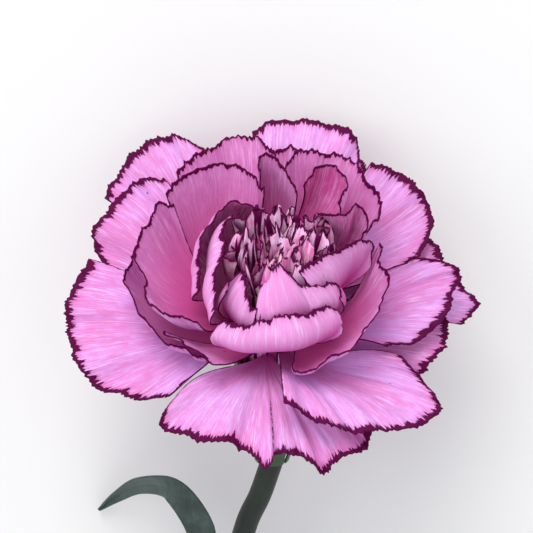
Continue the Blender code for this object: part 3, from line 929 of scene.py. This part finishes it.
# %% The routes of stem and leaves
STEM_PATH = (
    (0.2, 31.5, 17.9), (2.4, 38.7, 16.6), (5.2, 45.7, 15.4), (8.3, 58.7, 13.3), (12.0, 75.7, 10.6),
    (16.0, 105.7, 6.8), (18.0, 135.7, 4.0), (18.0, 160.7, 2.7), (17.0, 180.7, 2.3),
)
STEM_RADIUS = 2.3
JOINT_SWELL = 0.9
JOINT_LENGTH = 3.0
JOINTS_ALONG = (58.7, 103.0, 147.0)
LEAF_THICKNESS = 0.45
LEAVES = {
    "upper_leaf_left": (5.6, (
        (12.7, 58, 14.5), (14, 46, 20.6), (17, 38.5, 23), (21, 35.5, 20.6), (27, 38.5, 12),
        (32, 44, 4.5), (36, 48.5, 0.5),
    )),
    "upper_leaf_right": (4.6, (
        (4.2, 60, 14), (0, 70, 17), (-6, 82, 17), (-14, 94, 12), (-22, 104, 5), (-28, 111, 0.5),
    )),
    "middle_leaf_left": (4.4, (
        (19.8, 104, 8.5), (25, 111, 13), (33, 124, 13), (40, 138, 8), (46, 150, 2.6),
        (49, 156, 0.5),
    )),
    "middle_leaf_right": (4.4, (
        (11.6, 105, 8.5), (7, 114, 12), (2, 126, 12), (-4, 140, 8), (-10, 152, 3), (-13, 158, 0.5),
    )),
    "lower_leaf_left": (4.0, (
        (22.3, 148, 4.5), (28, 156, 8.5), (34, 168, 7), (40, 179, 2.5), (43, 184, 0.5),
    )),
    "lower_leaf_right": (4.0, (
        (14.1, 149, 4.5), (9, 158, 8.5), (4, 170, 7), (-1, 181, 2.5), (-4, 186, 0.5),
    )),
}


def from_throat(points):
    """World millimetres from places across and along from the throat, and up from the floor."""
    return points + np.array((THROAT[0], THROAT[1], 0))


stem_line = through(STEM_PATH, np.linspace(0, 1, 240))
print("stem along its bends:", lengths_between(stem_line, 0)[-1].round(1), "mm")


# %% A tube along a route
TUBE_SIDES = 32


def tube_object(name, middle, radii, shade):
    """A closed round tube along points in millimetres, with a radius at each."""
    ahead = np.gradient(middle, axis=0)
    ahead /= np.linalg.norm(ahead, axis=1, keepdims=True)
    side = np.cross(ahead, (0, 0, 1))
    side /= np.linalg.norm(side, axis=1, keepdims=True)
    up = np.cross(side, ahead)
    turn = np.linspace(0, 2 * math.pi, TUBE_SIDES, endpoint=False)
    ring = np.cos(turn)[None, :, None] * side[:, None] + np.sin(turn)[None, :, None] * up[:, None]
    points = middle[:, None] + ring * radii[:, None, None]
    rows = len(middle)
    index = np.arange(rows * TUBE_SIDES).reshape(rows, TUBE_SIDES)
    after = np.roll(index, -1, axis=1)
    faces = np.stack([index[:-1], index[1:], after[1:], after[:-1]], -1).reshape(-1, 4).tolist()
    faces.append(index[0].tolist())
    faces.append(index[-1][::-1].tolist())
    mesh = bpy.data.meshes.new(name)
    mesh.from_pydata((points.reshape(-1, 3) * MM).tolist(), [], faces)
    mesh.shade_smooth()
    mesh.materials.append(shade)
    piece = bpy.data.objects.new(name, mesh)
    bpy.context.scene.collection.objects.link(piece)
    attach(piece, "root")
    return piece


print("a round stem has", TUBE_SIDES, "sides")


# %% The stem
STEM_SEAT = (0.0, 29.3, 18.16)


def grow_stem():
    """The stem, its top let a little way into the solid foot of the calyx."""
    seat = np.linspace(STEM_SEAT, stem_line[0], 6, endpoint=False)
    route = np.concatenate((seat, stem_line))
    swell = sum(np.exp(-((route[:, 1] - joint) / JOINT_LENGTH) ** 2) for joint in JOINTS_ALONG)
    share = np.linspace(0, 1, len(route))
    ends = np.clip(np.minimum(share, 1 - share) / 0.002, 0.86, 1)
    radii = (STEM_RADIUS + JOINT_SWELL * swell) * ends
    piece = tube_object("stem_waxy", from_throat(route), radii, STEM_GREEN)
    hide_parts("stem")
    print("stem, thinnest and thickest radius:", radii.min().round(2), radii.max().round(2), "mm")


grow_stem()

# %% Keeled leaves
def grow_leaf(name, width, path):
    """A narrow blade with a rounded trough and a keel along its middle."""
    across, along = np.meshgrid(np.linspace(-1, 1, 25), np.linspace(0, 1, 120))
    middle = through(path, along)
    ahead = through(path, along + 0.01) - through(path, along - 0.01)
    side = np.cross(ahead, (0, 0, 1))
    side /= np.linalg.norm(side, axis=-1, keepdims=True)
    up = np.cross(side, ahead)
    up /= np.linalg.norm(up, axis=-1, keepdims=True)
    half = 0.5 * width * np.minimum(1, 0.55 + 2.2 * along) * (1 - along ** 2.6) + 0.12
    keel = 0.5 * across ** 2 - 0.12 * np.exp(-(across / 0.12) ** 2)
    points = middle + side * (half * across)[..., None] + up * keel[..., None]
    sheets = [(from_throat(points), {})]
    piece = grid_object(f"{name}_keeled", sheets, (LEAF_GREEN,), LEAF_THICKNESS)
    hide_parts(name)


for leaf_name, (leaf_width, leaf_path) in LEAVES.items():
    grow_leaf(leaf_name, leaf_width, leaf_path)
print("leaves:", len(LEAVES))

# %% [markdown]
# ## Calyx and what it holds
# The calyx tube, its scales and the hidden receptacle, ovary and styles already have their
# real shape in the engineering model, so they keep it and take the green finish.

# %% Finish the nodes that stay
def repaint(node, shade):
    piece = bpy.data.objects[node]
    for slot in piece.material_slots:
        slot.material = shade


GREEN_NODES = ("calyx", "calyx_scale_1", "calyx_scale_2", "calyx_scale_3", "calyx_scale_4")
PALE_NODES = ("receptacle", "ovary", "style_left", "style_right")
for node_name in GREEN_NODES:
    repaint(node_name, CALYX_GREEN)
for node_name in PALE_NODES:
    repaint(node_name, TISSUE)
print("nodes that keep their shape:", len(GREEN_NODES) + len(PALE_NODES))

# %% [markdown]
# ## Table, light and camera
# A plain pale floor and two wide soft lights, a strong one above the bloom and a weaker one to
# its left, keep attention on the petals. The camera looks down at 72 degrees, which meets the
# raised face of the bloom nearly square.

# %% The floor
def plain_material(name, colour):
    shade = bpy.data.materials.new(name)
    shade.use_nodes = True
    principled = shade.node_tree.nodes["Principled BSDF"]
    principled.inputs["Base Color"].default_value = colour
    principled.inputs["Roughness"].default_value = 0.9
    return shade


FLOOR_SIZE = 3.0
FLOOR_DROP = 0.0005
FLOOR_COLOUR = (0.79, 0.79, 0.778, 1)


def add_floor():
    mesh = bpy.data.meshes.new("floor")
    half = FLOOR_SIZE / 2
    corners = [(-half, -half, 0), (half, -half, 0), (half, half, 0), (-half, half, 0)]
    mesh.from_pydata(corners, [], [(0, 1, 2, 3)])
    mesh.materials.append(plain_material("pale table", FLOOR_COLOUR))
    floor = bpy.data.objects.new("floor", mesh)
    floor.location.z = -FLOOR_DROP
    bpy.context.scene.collection.objects.link(floor)


add_floor()
print("floor:", FLOOR_SIZE, "m square, lowered", FLOOR_DROP * 1000, "mm to clear the ruffles")

# %% The camera
CAMERA_TILT = math.radians(72)
CAMERA_DISTANCE = 0.6
PICTURE_WIDTH = 0.1045
AIM_RIGHT = -0.0011
AIM_UP = 0.0125


def add_camera():
    back = Vector((0, -math.cos(CAMERA_TILT), math.sin(CAMERA_TILT)))
    up = Vector((0, -math.sin(CAMERA_TILT), -math.cos(CAMERA_TILT)))
    right = up.cross(back)
    target = Vector(THROAT * MM) + right * AIM_RIGHT + up * AIM_UP
    data = bpy.data.cameras.new("camera")
    data.sensor_width = 36
    data.lens = data.sensor_width * CAMERA_DISTANCE / PICTURE_WIDTH
    camera = bpy.data.objects.new("camera", data)
    camera.matrix_world = Matrix((right, up, back)).transposed().to_4x4()
    camera.matrix_world.translation = target + back * CAMERA_DISTANCE
    bpy.context.scene.collection.objects.link(camera)
    bpy.context.scene.camera = camera
    return right, up, back


RIGHT, UP, BACK = add_camera()
print("camera looks down at", round(math.degrees(CAMERA_TILT)), "degrees")


# %% The lights
LIGHT_DISTANCE = 2.0
SKY_COLOUR = (0.95, 0.96, 1.0, 1)
SKY_STRENGTH = 0.92


def add_area_light(name, direction, size, power, colour):
    """A wide square lamp that points at the bloom from the given direction."""
    data = bpy.data.lights.new(name, "AREA")
    data.energy = power
    data.size = size
    data.color = colour
    light = bpy.data.objects.new(name, data)
    aim = direction.normalized()
    light.location = Vector(THROAT * MM) + aim * LIGHT_DISTANCE
    light.rotation_euler = aim.to_track_quat("Z", "Y").to_euler()
    bpy.context.scene.collection.objects.link(light)


add_area_light("key", BACK + 0.8 * UP - 0.2 * RIGHT, 1.0, 23.0, (1.0, 0.98, 0.95))
add_area_light("fill", BACK + 0.2 * UP - 1.0 * RIGHT, 1.2, 8.0, (0.93, 0.95, 1.0))

world = bpy.data.worlds.new("soft room")
bpy.context.scene.world = world
world.use_nodes = True
background = world.node_tree.nodes["Background"]
background.inputs["Color"].default_value = SKY_COLOUR
background.inputs["Strength"].default_value = SKY_STRENGTH
bpy.context.scene.view_settings.view_transform = "Standard"
